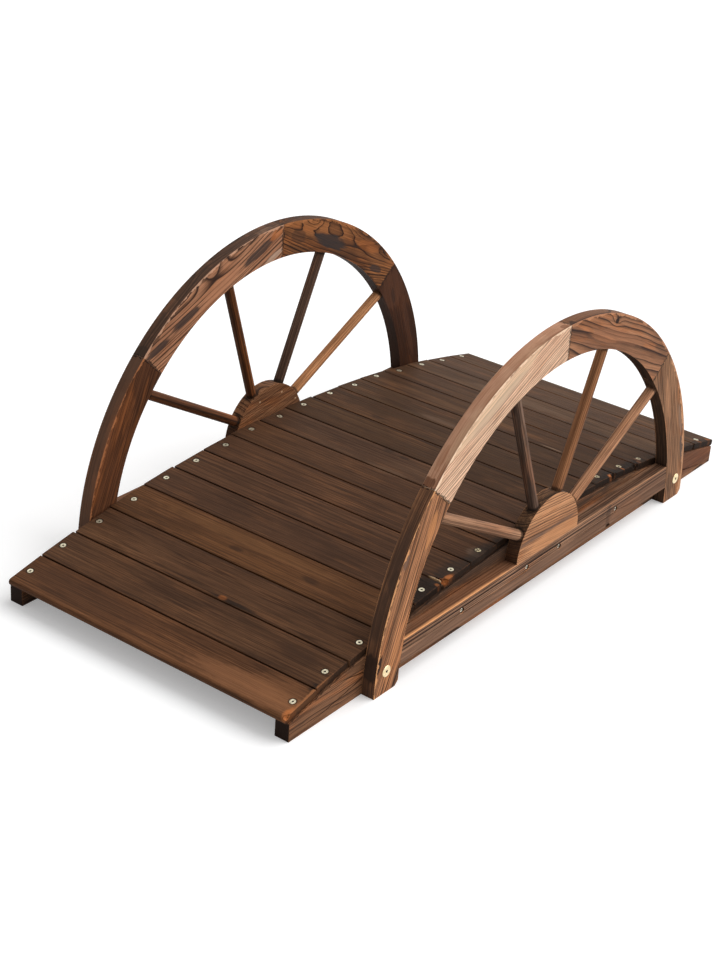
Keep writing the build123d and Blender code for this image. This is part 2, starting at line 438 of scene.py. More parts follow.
def wood(name, centre, axes, light, dark, line=None, tint=(1, 1, 1), seed=1.0, spacing=5.0, pith=(0, -30),
         slope=(0, 0), bow=0.0, waver=4.0, contrast=0.7, banding=0.25, lines=0.35, fibre=0.3, blotch=0.5,
         ember=0.0, ember_tone=ORANGE, knots=(), spots=(), soot_and_shade=(), wear=0.5, wear_tone=None, edge_soot=0.0,
         end_dark=0.7, rim=None, rim_tone=SOOT, rim_wear=0.0, half_span=0.0, seams=(0.8, 0.8), rough=0.6):
    """A solid wood material whose grain follows the piece's own axes.

    axes are the grain direction, the direction across the face and the face normal. tint scales the light and
    the dark tone. pith is where the rings' middle lies, across and in depth, slope how it drifts on each of
    these along the grain, bow how it bends in depth, waver how unsteady it is.
    contrast is the strength of the ring lines, banding of the difference between rings, lines of long fine
    streaks, fibre of the short ones, blotch of large dark areas, ember of warm ones.
    knots are (along, across, radius, core). soot is a list of (direction, strength) for faces darkened by the
    way they face, partly scorch and partly painted shade on faces turned from the key light or facing down;
    end_dark the strength of a dark tone on the end grain.
    wear is the strength of the pale rub on arrises, edge_soot of the smoke near them.
    rim is set on the bent pieces of a wheel: strength of the scorch on the outer surface and how far its
    tongues reach over the face, then the same for the inner surface. rim_tone is that scorch's tone, rim_wear
    the strength of the pale line along the outer arris, half_span half the angle that the piece fills, and
    seams the strength of the dark line at each of its two ends.
    """
    material, g = new_material(name)
    light = linear(light, tint)
    dark = linear(dark, tint)
    line = linear(line) if line else shade(dark, 0.55)
    rub = linear(wear_tone) if wear_tone else shade(light, 1.55)

    turn = Matrix([Vector(axis).normalized() for axis in axes]).transposed()
    if turn.determinant() < 0:
        raise ValueError("left handed axes for " + name)
    own_place = {
        "Vector": g.node("TexCoord").outputs["Object"],
        "Location": Vector(centre) * MM,
        "Rotation": turn.to_euler(),
    }
    mapping = g.node("Mapping", own_place, vector_type="TEXTURE")
    place = g.scaled(mapping.outputs[0], (1 / MM, 1 / MM, 1 / MM))
    geometry = g.node("NewGeometry").outputs
    grain_place = place
    if rim:
        bend = bent_place(g, place, g.dot(geometry["True Normal"], tuple(turn.col[2])))
        grain_place = bend.place

    sockets = {
        "Place": grain_place, "Seed": seed, "Spacing": spacing, "Pith Across": pith[0], "Pith Depth": pith[1],
        "Slope Across": slope[0], "Slope Depth": slope[1], "Bow": bow, "Waver": waver,
    }
    for title, (along, across, radius, core) in zip(knot_names, knots):
        sockets.update({title: (along, across, 0), title + " Radius": radius, title + " Core": core})
    out = g.node("Group", sockets, node_tree=ring_group).outputs

    # growth rings and fibre
    tone = g.mix(g.fade(out["Blotch"], 0.36, 0.66, 0.0, blotch), light, dark)
    tone = g.mix(g.times(out["Band"], banding), tone, dark)
    if ember:
        tone = g.mix(g.fade(out["Drift"], 0.5, 0.66, 0.0, ember), tone, linear(ember_tone))
    tone = g.mix(g.times(out["Late"], contrast), tone, line)
    faint = g.fade(out["Drift"], 0.36, 0.58, 0.35, 1.0)
    tone = g.mix(g.times(out["Line"], faint, lines), tone, line)
    streak = g.fade(out["Fibre"], 0.36, 0.64, 1.0 - fibre, 1.0 + fibre * 0.5)
    tone = g.mix(1.0, tone, g.join(streak, streak, streak), blend="MULTIPLY")

    # marks and knots
    for number, spot in enumerate(spots):
        sockets = {"Place": place, "Centre": spot.centre, "Reach": spot.reach, "Seed": seed + number * 3.7}
        sockets.update({"Ragged": spot.ragged, "Soft": spot.soft})
        patch = g.node("Group", sockets, node_tree=spot_group)
        fibrous = g.fade(out["Fibre"], 0.3, 0.6, spot.strength * 0.72, spot.strength)
        tone = g.mix(g.times(patch.outputs[0], fibrous), tone, linear(spot.tone))
    if knots:
        tone = g.mix(g.times(out["Knot"], 0.85), tone, shade(line, 0.7))

    # faces scorched by the torch and faces in painted shade, turned from the key light or facing down, and
    # end grain that drinks more soot and oil
    if rim:
        tone = scorched_rim(g, tone, place, out["Fibre"], bend, rim, linear(rim_tone), seed)
    for direction, strength in soot_and_shade:
        facing = g.dot(geometry["True Normal"], tuple(Vector(direction).normalized()))
        scorched_and_shaded = g.fade(facing, 0.5, 0.85, 0.0, strength)
        patchy = g.fade(out["Drift"], 0.3, 0.62, 1.0, 0.6)
        streaky = g.fade(out["Fibre"], 0.3, 0.7, 1.0, 0.66)
        tone = g.mix(g.times(scorched_and_shaded, patchy, streaky), tone, linear(CHAR))
    along = g.absolute(g.dot(geometry["True Normal"], tuple(turn.col[0])))
    tone = g.mix(g.fade(along, 0.75, 0.95, 0.0, end_dark), tone, shade(line, 0.5))

    # dark seams, arrises rubbed paler by the brush, and smoke near some edges
    if rim:
        tone = dark_seams(g, tone, place, bend, half_span, seams)
    if rim_wear:
        tone = rubbed_rim(g, tone, place, out["Fibre"], bend, rim_wear, rub)
    arris = g.fade(edge_bend(g, arris_radius, geometry["Normal"]), 0.99, 0.88)
    broken = g.fade(out["Drift"], 0.42, 0.6, 0.15, 1.0)
    tone = g.mix(g.times(arris, broken, wear), tone, rub)
    if edge_soot:
        near = g.fade(edge_bend(g, smoky_edge_radius, geometry["Normal"]), 0.995, 0.9, 0.0, edge_soot)
        tone = g.mix(g.times(near, g.fade(out["Blotch"], 0.4, 0.6)), tone, linear(SOOT))

    height = g.plus(g.times(out["Late"], 0.5), g.times(out["Fibre"], 0.9))
    height = g.minus(height, g.times(out["Line"], 0.35))
    relief = {"Strength": 0.9, "Distance": grain_relief * MM, "Height": height}
    surface = {
        "Base Color": tone,
        "Roughness": g.fade(out["Fibre"], 0.3, 0.7, rough - 0.07, rough + 0.09),
        "Normal": g.node("Bump", relief).outputs[0],
        "Specular IOR Level": wood_gloss,
    }
    shader = g.node("BsdfPrincipled", surface)
    g.node("OutputMaterial", {"Surface": shader.outputs[0]})
    return material


# points of a solid closer than the gap are joined, and edges that turn by more than the angle are rounded
weld_gap = 0.01
sharp_turn = radians(34)


def dress(name, centre, axes, look, bevel=1.2, cutters=()):
    """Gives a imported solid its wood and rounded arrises; its own mesh stays as it is."""
    material = wood(name + "_wood", centre, axes, **look)
    piece = nodes[name]
    for slot in piece.material_slots:
        slot.material = material
    set_all(piece.modifiers.new("weld", "WELD"), dict(merge_threshold=weld_gap * MM))
    if bevel:
        rounded = dict(
            width=bevel * MM, segments=2, limit_method="ANGLE", angle_limit=sharp_turn,
            use_clamp_overlap=True, miter_outer="MITER_ARC",
        )
        set_all(piece.modifiers.new("arris", "BEVEL"), rounded)
    for cutter in cutters:
        bite = dict(object=cutter, operation="DIFFERENCE", solver="MANIFOLD")
        set_all(piece.modifiers.new("bite", "BOOLEAN"), bite)
    set_all(piece.modifiers.new("shade", "WEIGHTED_NORMAL"), dict(mode="FACE_AREA", weight=60))


def add_object(name, data):
    """A new object of the scene that shows a mesh, a lamp or a camera."""
    made = bpy.data.objects.new(name, data)
    scene.collection.objects.link(made)
    return made


def add_shape(name, bm):
    """A new object of the scene made of a working mesh."""
    mesh = bpy.data.meshes.new(name)
    bm.to_mesh(mesh)
    bm.free()
    return add_object(name, mesh)


def torn_cutter(name, centre, axes, reach, seed):
    """A hidden splintery lump that bites a torn place out of a solid, with its reach along three axes."""
    bm = bmesh.new()
    bmesh.ops.create_icosphere(bm, subdivisions=3, radius=1.0)
    direction, side, lift = (Vector(axis).normalized() for axis in axes)
    for vert in bm.verts:
        point = vert.co.copy()
        lumps = Vector((point.x * 1.1, point.y * 3.1, point.z * 3.1)) + Vector((seed, 0, 0))
        splinters = Vector((point.x * 2.3, point.y * 7.0, point.z * 7.0)) + Vector((0, seed, 0))
        point *= 1.0 + 0.55 * noise.noise(lumps) + 0.25 * noise.noise(splinters)
        spread = direction * point.x * reach[0] + side * point.y * reach[1] + lift * point.z * reach[2]
        vert.co = (Vector(centre) + spread) * MM
    cutter = add_shape(name, bm)
    cutter.hide_render = True
    return cutter


def peg_cutter(name, places, axis, radius, depth, overshoot=2.0):
    """A hidden group of round pegs that cut the pockets of sunk heads."""
    bm = bmesh.new()
    direction = Vector(axis).normalized()
    turn = direction.to_track_quat("Z", "Y").to_matrix().to_4x4()
    for place in places:
        middle = Vector(place) - direction * (depth - overshoot) / 2
        bmesh.ops.create_cone(
            bm,
            cap_ends=True,
            segments=24,
            radius1=radius * MM,
            radius2=radius * MM,
            depth=(depth + overshoot) * MM,
            matrix=Matrix.Translation(middle * MM) @ turn,
        )
    cutter = add_shape(name, bm)
    cutter.hide_render = True
    return cutter


# a kind of screw or bolt head: turned outline of (radius, height) from its seat up, and a lobed recess
Head = namedtuple("Head", "outline recess_radius recess_depth lobes material")


def turned_head(bm, head, place, axis, spin):
    """One head with its outer surface in material slot 0 and its recess in slot 1."""
    segments = 48
    turn = Vector(axis).normalized().to_track_quat("Z", "Y").to_matrix()
    top = head.outline[-1][1]
    bottom = top - head.recess_depth
    rows = [(radius, height, 0.0) for radius, height in head.outline]
    recess = ((1.12, top, 1.0), (1.0, top - 0.25, 1.0), (0.92, bottom, 1.0), (0.3, bottom - 0.4, 0.0))
    for share, height, lobe in recess:
        rows.append((head.recess_radius * share, height, lobe))
    loops = []
    for radius, height, lobe in rows:
        loop = []
        for step in range(segments):
            angle = 2 * pi * step / segments
            reach = radius * (1.0 + lobe * 0.16 * cos(head.lobes * angle))
            spot = Vector((reach * cos(angle + spin), reach * sin(angle + spin), height))
            loop.append(bm.verts.new((Vector(place) + turn @ spot) * MM))
        loops.append(loop)
    for row, (lower, upper) in enumerate(zip(loops, loops[1:])):
        for step in range(segments):
            after = (step + 1) % segments
            face = bm.faces.new((lower[step], lower[after], upper[after], upper[step]))
            face.material_index = 1 if row > len(head.outline) else 0
    bm.faces.new(loops[-1]).material_index = 1


def metal(name, tone, dull, rough, metallic=0.8):
    """Zinc plated steel with a yellow cast, a little dull and smudged."""
    material, g = new_material(name)
    place = g.node("TexCoord").outputs["Object"]
    smudge = g.noise(g.scaled(place, (260.0, 260.0, 260.0)), detail=3.0)
    scratch = g.noise(g.scaled(place, (2400.0, 700.0, 700.0)), detail=1.0)
    relief = {"Strength": 0.25, "Distance": 0.05 * MM, "Height": scratch}
    surface = {
        "Metallic": metallic,
        "Base Color": g.mix(g.fade(smudge, 0.35, 0.65), linear(tone), linear(dull)),
        "Roughness": g.fade(scratch, 0.3, 0.7, rough - 0.08, rough + 0.1),
        "Normal": g.node("Bump", relief).outputs[0],
    }
    shader = g.node("BsdfPrincipled", surface)
    g.node("OutputMaterial", {"Surface": shader.outputs[0]})
    return material


def add_heads(name, head, places, sooty=()):
    """All heads of one kind on one side, as one piece. Places are (point, axis), sooty lists burnt ones."""
    bm = bmesh.new()
    for number, (place, axis) in enumerate(places):
        fresh = len(bm.faces)
        turned_head(bm, head, place, axis, number * 0.77)
        bm.faces.ensure_lookup_table()
        if number in sooty:
            for face in bm.faces[fresh:]:
                face.material_index = 2 if face.material_index == 0 else 1
    for face in bm.faces:
        face.smooth = True
    bmesh.ops.recalc_face_normals(bm, faces=bm.faces)
    piece = add_shape(name, bm)
    piece.data.materials.append(head.material)
    piece.data.materials.append(recess_shade)
    if sooty:
        piece.data.materials.append(sooty_metal)
    piece.data.set_sharp_from_angle(angle=radians(40))
    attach(piece, "root")


# screws and bolts
deck_pocket_radius = 6.5
deck_pocket_depth = 3.4
# painted shade: the dark colour of the recess in every head
recess_shade = metal("recess_shade", (58, 50, 40), (34, 29, 24), 0.7, metallic=0.2)
sooty_metal = metal("sooty_screw", (222, 204, 160), (74, 60, 48), 0.42, metallic=0.6)
deck_head = Head(
    outline=((5.0, -2.4), (5.8, -0.7), (5.95, -0.35), (5.8, -0.1), (5.2, 0.0), (3.4, -0.15)),
    recess_radius=2.1, recess_depth=1.7, lobes=6,
    material=metal("plated_screw", (224, 216, 190), (168, 158, 132), 0.4),
)
foot_head = Head(
    outline=((11.2, 0.0), (11.4, 0.3), (11.3, 0.9), (10.8, 1.35), (9.6, 1.55), (5.0, 1.65)),
    recess_radius=2.9, recess_depth=1.5, lobes=6,
    material=metal("plated_bolt", (252, 236, 196), (228, 206, 158), 0.34),
)
rail_head = Head(
    outline=((5.1, 0.0), (5.3, 3.6), (5.2, 5.0), (4.5, 6.2), (3.2, 6.9)),
    recess_radius=2.0, recess_depth=1.6, lobes=4,
    material=metal("plated_rail_screw", (255, 250, 232), (224, 212, 186), 0.34, metallic=0.25),
)
sooty_deck_screws = {"right": (6, 11, 12, 13), "left": ()}

screw_tops = {}
for side, sign in side_signs.items():
    screws = zip(boards, screw_places, screw_reach[side])
    screw_tops[side] = [(board.top(place, sign * reach), board.normal) for board, place, reach in screws]
    add_heads("deck_screws_" + side, deck_head, screw_tops[side], sooty_deck_screws[side])
    outward = (0, sign, 0)
    bolts = [((place, sign * wheel_face, foot_bolt_height), outward) for place in foot_bolt_places[side]]
    add_heads("foot_bolts_" + side, foot_head, bolts)
    seat = sign * (wheel_face - rail_counterbore_depth)
    screws = [((place, seat, rail_hole_height), outward) for place in rail_hole_positions]
    add_heads("rail_screws_" + side, rail_head, screws)

# what the deck boards share
deck_look = dict(
    dark=(68, 46, 34), line=(40, 28, 21), contrast=0.6, waver=1.4, banding=0.4, lines=0.45, fibre=0.32,
    blotch=0.5, ember=0.3, ember_tone=(128, 86, 57), wear=0.9, wear_tone=(128, 84, 56), edge_soot=0.25,
    end_dark=0.75, rough=0.62,
)

# deck boards, near end first: light tone, spacing of the rings, where their middle lies
board_grain = (
    ((118, 78, 51), 3.8, (-56, -20)),
    ((108, 75, 52), 4.6, (62, -30)),
    ((108, 75, 52), 3.6, (60, -20)),
    ((116, 77, 48), 4.2, (56, -18)),
    ((100, 69, 49), 4.2, (-50, -14)),
    ((104, 72, 51), 4.8, (10, -26)),
    ((108, 74, 51), 4.4, (50, -16)),
    ((102, 70, 48), 5.0, (-60, -14)),
    ((100, 72, 53), 5.0, (48, -24)),
    ((96, 69, 50), 6.0, (45, -18)),
    ((94, 68, 50), 5.5, (-55, -18)),
    ((96, 70, 52), 5.0, (42, -18)),
    ((102, 73, 53), 6.0, (-10, -16)),
    ((100, 72, 53), 5.5, (58, -16)),
    ((110, 82, 63), 6.0, (-42, -18)),
    ((104, 76, 58), 5.0, (36, -14)),
    ((106, 78, 58), 6.0, (-46, -18)),
)

# what else sets some boards apart, by number
board_extras = {
    1: dict(dark=(74, 49, 35), ember=0.4, seed=2.1, wear=0.35, edge_soot=0.0),
    3: dict(contrast=0.55, lines=0.6),
    4: dict(dark=(72, 47, 31), ember=0.4),
    5: dict(dark=(62, 43, 33)),
    15: dict(dark=(72, 52, 40)),
}

# marks seen on the deck: tone, place along the walk, place across it, reach across, reach along, strength
deck_marks = (
    (ORANGE, -579, -37, 9, 5, 0.9),
    (CHAR, -580, -62, 46, 5, 0.75),
    (CHAR, -574, 30, 60, 3, 0.4),
    ((58, 40, 30), -623, -253, 50, 16, 0.6),
    # painted highlight along the rounded nose of the first board
    ((132, 88, 58), -752, -60, 380, 5, 0.4),
    ((150, 102, 70), -730, -225, 130, 24, 0.55),
    ((146, 98, 66), -712, -290, 60, 30, 0.35),
    ((60, 42, 33), -715, 180, 160, 30, 0.45),
    ((122, 84, 54), -420, 40, 210, 14, 0.4),
    ((52, 36, 27), -451, 42, 16, 6, 0.7),
    ((52, 36, 27), -447, -134, 20, 7, 0.7),
    ((112, 84, 64), -38, 3, 46, 12, 0.45),
    ((50, 37, 29), 34, 7, 12, 6, 0.7),
    ((50, 37, 29), 38, 49, 12, 6, 0.6),
    ((50, 37, 29), 157, 168, 16, 7, 0.7),
    ((150, 120, 96), 321, -172, 26, 2, 0.7),
    ((120, 94, 76), 250, 60, 60, 10, 0.35),
    ((118, 92, 72), 530, 40, 130, 20, 0.35),
    (CHAR, -350, -326, 46, 60, 0.88),
    (SOOT, -262, -330, 30, 60, 0.7),
    (TORN, -288, -331, 6, 15, 0.85),
    (ORANGE, -301, -327, 8, 5, 0.55),
    (PALE, -304, -318, 16, 2.2, 0.9),
    ((122, 100, 84), -182, -328, 24, 16, 0.6),
    (SOOT, -170, -333, 20, 60, 0.6),
    (CHAR, 100, -334, 16, 300, 0.6),
    (CHAR, 306, -332, 20, 44, 0.85),
    (SOOT, 300, -310, 26, 30, 0.5),
    (TORN, 297, -334, 8, 7, 0.95),
    (CHAR, 388, -332, 20, 44, 0.85),
    (ORANGE, 352, -328, 5, 3, 0.6),
    ((150, 100, 70), 420, -329, 6, 4, 0.5),
    (ORANGE, -318, -330, 7, 4, 0.5),
    (PALE, -308, -296, 22, 1.2, 0.6),
    ((150, 106, 90), 432, -318, 8, 5, 0.6),
    (TORN, -744, -331, 9, 16, 0.8),
    (TORN, 740, -332, 8, 6, 0.8),
    (ORANGE, 700, -331, 9, 4, 0.7),
    (CHAR, 690, -334, 12, 70, 0.7),
    (CHAR, -672, -334, 14, 12, 0.9),
    ((176, 116, 74), -690, -334, 5, 50, 0.7),
)

# the boards beyond the middle one are darker and warmer: painted shade against the sheen that they catch at a
# grazing view
middle_board = 9
beyond_middle_shade_tint = (0.82, 0.8, 0.72)

# how far a ragged mark can spread, as a share of its reach, and how far the painted shade of a screw's pocket
# lies round the screw
mark_spread = 1.4
screw_pocket_shade_radius = 8.2


def board_spots(board):
    """The marks that fall on one board and the painted shade in and round its screws' pockets, in its own
    coordinates.
    """
    found = []
    for tone, x, y, reach_across, reach_along, strength in deck_marks:
        if board.start - reach_along * mark_spread < x < board.end + reach_along * mark_spread:
            place = (-y, board.ahead(x), board_thickness / 2)
            found.append(Spot(tone, place, (reach_across, reach_along, 14), strength, ragged=0.55))
    index = board.number - 1
    # painted shade in and round each screw's pocket
    for side in ("left", "right"):
        y = side_signs[side] * screw_reach[side][index]
        place = (-y, board.ahead(screw_places[index]), board_thickness / 2)
        reach = (screw_pocket_shade_radius, screw_pocket_shade_radius, 12)
        found.append(Spot(CHAR, place, reach, 0.75, ragged=0.12, soft=0.2))
    return found


# torn ends on the deck's right edge: board, place along the walk, place across, how far it bites each way
torn_places = (
    (6, -299, -337, (15, 9, 12)),
    (6, -300, -318, (10, 2.2, 5)),
    (5, -312, -338, (9, 6, 10)),
    (12, 303, -337, (10, 8, 12)),
    (13, 318, -338, (9, 5, 9)),
    (13, 392, -337, (9, 6, 10)),
    (14, 405, -338, (8, 6, 10)),
    (1, -752, -336, (9, 7, 8)),
)
deck_bites = {}
for number, (board_number, x, y, reach) in enumerate(torn_places):
    board = boards[board_number - 1]
    cutter = torn_cutter("torn_%d" % number, board.top(x, y), board.axes, reach, number * 5.7)
    deck_bites.setdefault(board_number, []).append(cutter)

for index, board in enumerate(boards):
    light, spacing, pith = board_grain[index]
    look = dict(deck_look, light=light, spacing=spacing, pith=pith, seed=board.number * 1.37)
    look["spots"] = board_spots(board)
    look.update(board_extras.get(board.number, {}))
    if board.number > middle_board:
        look["tint"] = beyond_middle_shade_tint
    pocket_places = (screw_tops["right"][index][0], screw_tops["left"][index][0])
    pockets = peg_cutter(
        "pockets_%02d" % board.number, pocket_places, board.normal, deck_pocket_radius, deck_pocket_depth,
    )
    bites = [pockets] + deck_bites.get(board.number, [])
    dress("deck_board_%02d" % board.number, board.centre, board.axes, look, bevel=1.0, cutters=bites)

# grain along the walk, up across the face, and the face's normal; the places that the looks are measured from
grain_axes = ((1, 0, 0), (0, 0, 1), (0, -1, 0))
beam_look_height = 60
hub_look_place = (5, 140)

# chips out of the lower outer arris of a rail: place along the walk, how far each bites along, out and up
rail_chips = ((248, (9, 7, 6)), (-420, (16, 2, 2)))
chip_axes = ((1, 0, 0), (0, -1, 0), (0, 0, 1))

for side, sign in side_signs.items():
    beam_look = dict(
        light=(152, 108, 78), dark=(92, 62, 44), line=(46, 31, 24), spacing=4.4, pith=(-56, 24 * sign),
        contrast=0.9, waver=4.5, lines=0.6, ember=0.4, wear=0.5, end_dark=0.96, seed=21.0 + sign,
        # soot faces: the near end charred; the top and the inner face, which lie under the deck, darkened as
        # painted shade
        soot_and_shade=(((-1, 0, 0), 0.96), ((0, 0, 1), 0.6), ((0, -sign, 0), 0.75)),
        spots=(
            Spot(SOOT, (-660, 22, -16 * sign), (70, 12, 20), 0.6),
            # painted shade along the top of the beam, in the gap between the rail and the deck
            Spot(SOOT, (0, 60, 0), (640, 24, 40), 0.7),
            Spot((100, 62, 44), (680, -12, -16 * sign), (150, 40, 20), 0.75, ragged=0.4, soft=0.2),
            Spot(SOOT, (680, 10, -16 * sign), (150, 6, 20), 0.7),
        ),
    )
    centre = (0, sign * (beam_outer_face - beam_thickness / 2), beam_look_height)
    dress("side_beam_" + side, centre, grain_axes, beam_look)

    rail_look = dict(
        light=(182, 138, 108), dark=(122, 90, 70), line=(36, 26, 22), spacing=4.4, pith=(90, -50),
        contrast=1.0, waver=0.6, lines=0.75, ember=0.15, wear=1.0, wear_tone=(214, 140, 86), end_dark=0.9,
        # soot faces: char on the top, painted shade on the underside
        seed=31.0 + sign, soot_and_shade=(((0, 0, 1), 0.45), ((0, 0, -1), 0.7)),
        spots=(
            Spot((120, 90, 72), (-60, -15, 14), (620, 13, 8), 0.75, ragged=0.4, soft=0.25),
            Spot((140, 88, 56), (-230, 27, 0), (260, 5, 20), 0.6),
            Spot((84, 56, 40), (40, 27, 2), (90, 5, 9), 0.7),
            Spot((84, 56, 40), (380, 27, 2), (120, 5, 9), 0.6),
            Spot((236, 166, 110), (-350, 26, 13.4), (230, 2.6, 3.4), 0.9, ragged=0.5, soft=0.3),
            Spot((206, 152, 112), (140, 26, 13.4), (400, 1.4, 2.0), 0.4, ragged=0.6, soft=0.3),
            Spot(SOOT, (245, 0, 13), (9, 26, 14), 0.6),
            Spot((166, 112, 78), (320, -8, 14), (60, 14, 6), 0.35),
            Spot((98, 70, 54), (430, -4, 14), (200, 26, 8), 0.55, ragged=0.5),
            Spot((90, 64, 48), (170, -6, 14), (70, 24, 8), 0.45, ragged=0.5),
        ),
    )
    centre = (0, sign * wheel_middle, rail_bottom + rail_height / 2)
    bites = []
    for number, (place, reach) in enumerate(rail_chips):
        corner = (place, sign * wheel_face, rail_bottom)
        bites.append(torn_cutter("chip_%s_%d" % (side, number), corner, chip_axes, reach, 3.1 + number))
    dress("bottom_rail_" + side, centre, grain_axes, rail_look, cutters=bites)

# the half round hubs, with painted shade round the holes that the spokes sit in
hub_looks = {
    "right": dict(
        light=(214, 156, 112), dark=(158, 106, 73), line=(70, 46, 35), spacing=5.6, pith=(84, -20),
        slope=(-0.1, 0.0), contrast=1.0, waver=1.6, lines=0.3, banding=0.2, ember=0.4, wear=0.6,
        # soot faces: char on the top, painted shade on the face turned from the key light
        soot_and_shade=(((-0.3, 0, 1), 0.8), ((0.3, 0, 1), 0.7), ((-1, 0, 0.2), 0.8)),
        spots=(
            Spot((200, 142, 98), (30, -36, 14), (100, 20, 8), 0.6, ragged=0.4, soft=0.2),
            Spot((104, 82, 70), (-62, -12, 14), (44, 5, 8), 0.75, ragged=0.5, soft=0.25),
            Spot((104, 82, 70), (30, -13, 14), (66, 4, 8), 0.65, ragged=0.5, soft=0.25),
        ),
    ),
    "left": dict(
        light=(166, 115, 80), dark=(98, 64, 44), line=(42, 27, 20), spacing=4.6, pith=(-90, -10),
        slope=(0.22, 0.0), contrast=0.95, waver=2, lines=0.5, ember=0.35, wear=0.5,
        soot_and_shade=(((0, 0, 1), 0.3),),
        spots=(
            Spot((168, 112, 68), (10, -26, 14), (90, 9, 8), 0.55),
            Spot(PALE, (-40, 37, 14), (2.5, 2, 4), 0.8, ragged=0.2),
            Spot(PALE, (32, 38, 14), (2.5, 2, 4), 0.8, ragged=0.2),
            Spot(PALE, (80, 8, 14), (2.5, 2, 4), 0.8, ragged=0.2),
        ),
    ),
}
for side, sign in side_signs.items():
    centre = (hub_look_place[0], sign * wheel_middle, hub_look_place[1])
    look = dict(hub_looks[side], seed=41.0 + sign)
    # painted shade round each hole that a spoke sits in
    painted_hole_shade = []
    for angle in hub_angles[side]:
        x = hub_middles[side] + hub_radii[side] * cos(radians(angle))
        z = rail_top + hub_radii[side] * sin(radians(angle))
        place = (x - centre[0], z - centre[2], 0)
        painted_hole_shade.append(Spot(CHAR, place, (16, 16, 12), 0.85, ragged=0.35, soft=0.25))
    look["spots"] += tuple(painted_hole_shade)
    dress("wheel_hub_" + side, centre, grain_axes, look)


def felloe_ends(side, index):
    """The two angles that a rim piece runs between."""
    marks = (0.0, *joint_angles[side], 180.0)
    return marks[index:index + 2]


def rim_place(middle, angle, radius, depth=wheel_thickness / 2):
    """A point of the wheel in the coordinates of the rim piece whose middle angle is given."""
    turn = radians(middle - angle)
    return (radius * sin(turn), radius * cos(turn) - rim_middle, depth)


# marks seen on the rim pieces: tone, wheel angle, radius, reach along the grain, reach across it, strength
rim_marks = {
    ("right", 0): (
        ((84, 74, 68), 10, 548, 52, 6, 0.85),
        (GREY, 20, 540, 40, 6, 0.5),
        ((180, 130, 96), 30, 505, 60, 9, 0.4),
        (SOOT, 4, 505, 26, 14, 0.4),
    ),
    ("right", 1): (
        ((152, 103, 75), 68, 506, 120, 12, 0.5),
        ((198, 132, 92), 76, 500, 60, 6, 0.35),
        (CHAR, 72, 535, 7, 6, 0.9),
        (SOOT, 46, 540, 40, 7, 0.4),
    ),
    ("right", 2): (
        ((240, 208, 172), 119, 532, 170, 16, 0.5),
        ((176, 152, 130), 117, 520, 100, 11, 0.5),
    ),
    ("right", 3): (
        ((100, 80, 70), 153.5, 541, 14, 7, 0.75),
        (SOOT, 158, 549, 26, 6, 0.75),
        (SOOT, 166, 549, 60, 4, 0.3),
        ((214, 146, 92), 146, 500, 34, 10, 0.5),
        ((206, 138, 88), 172, 500, 60, 8, 0.4),
    ),
    ("left", 0): (
        ((92, 58, 41), 36, 512, 50, 34, 0.6),
        ((52, 37, 30), 34, 505, 22, 7, 0.6),
        ((92, 58, 41), 22, 522, 90, 9, 0.45),
    ),
    ("left", 1): (
        (BLUE_CHAR, 70, 504, 60, 15, 1.0),
        ((60, 44, 36), 62, 512, 40, 7, 0.5),
        (BLUE_CHAR, 47, 502, 26, 8, 0.8),
        ((60, 44, 36), 83, 516, 26, 16, 0.6),
        (ORANGE, 54, 528, 40, 12, 0.35),
    ),
    ("left", 2): (
        (BLUE_CHAR, 133, 526, 34, 8, 0.9),
        (BLUE_CHAR, 123, 508, 40, 9, 0.9),
        (BLUE_CHAR, 97, 514, 50, 11, 0.9),
        (ORANGE, 91, 535, 20, 10, 0.6),
        ((186, 160, 140), 92, 487, 34, 7, 0.7),
        ((190, 132, 98), 110, 500, 60, 12, 0.5),
    ),
    ("left", 3): (((150, 92, 58), 158, 545, 90, 5, 0.5),),
}

# the same on the outer surface: tone, wheel angle, depth towards -Y, reach along and in depth, strength
outer_marks = {
    ("right", 1): (((46, 33, 27), 89.6, 8, 8, 7, 0.95),),
    ("right", 2): (
        ((46, 33, 27), 138.3, -6, 10, 15, 0.95),
        ((128, 90, 68), 133, -4, 60, 6, 0.4),
        ((200, 158, 130), 118, 6, 150, 9, 0.35),
        ((84, 56, 42), 92.5, 6, 10, 6, 0.7),
    ),
    ("right", 3): (
        ((108, 80, 66), 152, 2, 120, 9, 0.6),
        ((92, 66, 54), 165, -4, 60, 8, 0.5),
        ((28, 22, 19), 175, 0, 36, 30, 1.0),
    ),
    ("left", 2): (
        ((206, 160, 130), 94, 6, 56, 8, 0.75),
        ((38, 29, 25), 135.4, 0, 13, 18, 0.85),
    ),
}

# knots of the rim pieces: wheel angle, radius, size, strength of the dark core
rim_knots = {
    ("right", 1): ((72, 535, 7, 1),),
    ("left", 1): ((79, 560, 20, 0), (57, 574, 34, 0)),
    ("left", 2): ((112, 552, 18, 0),),
}

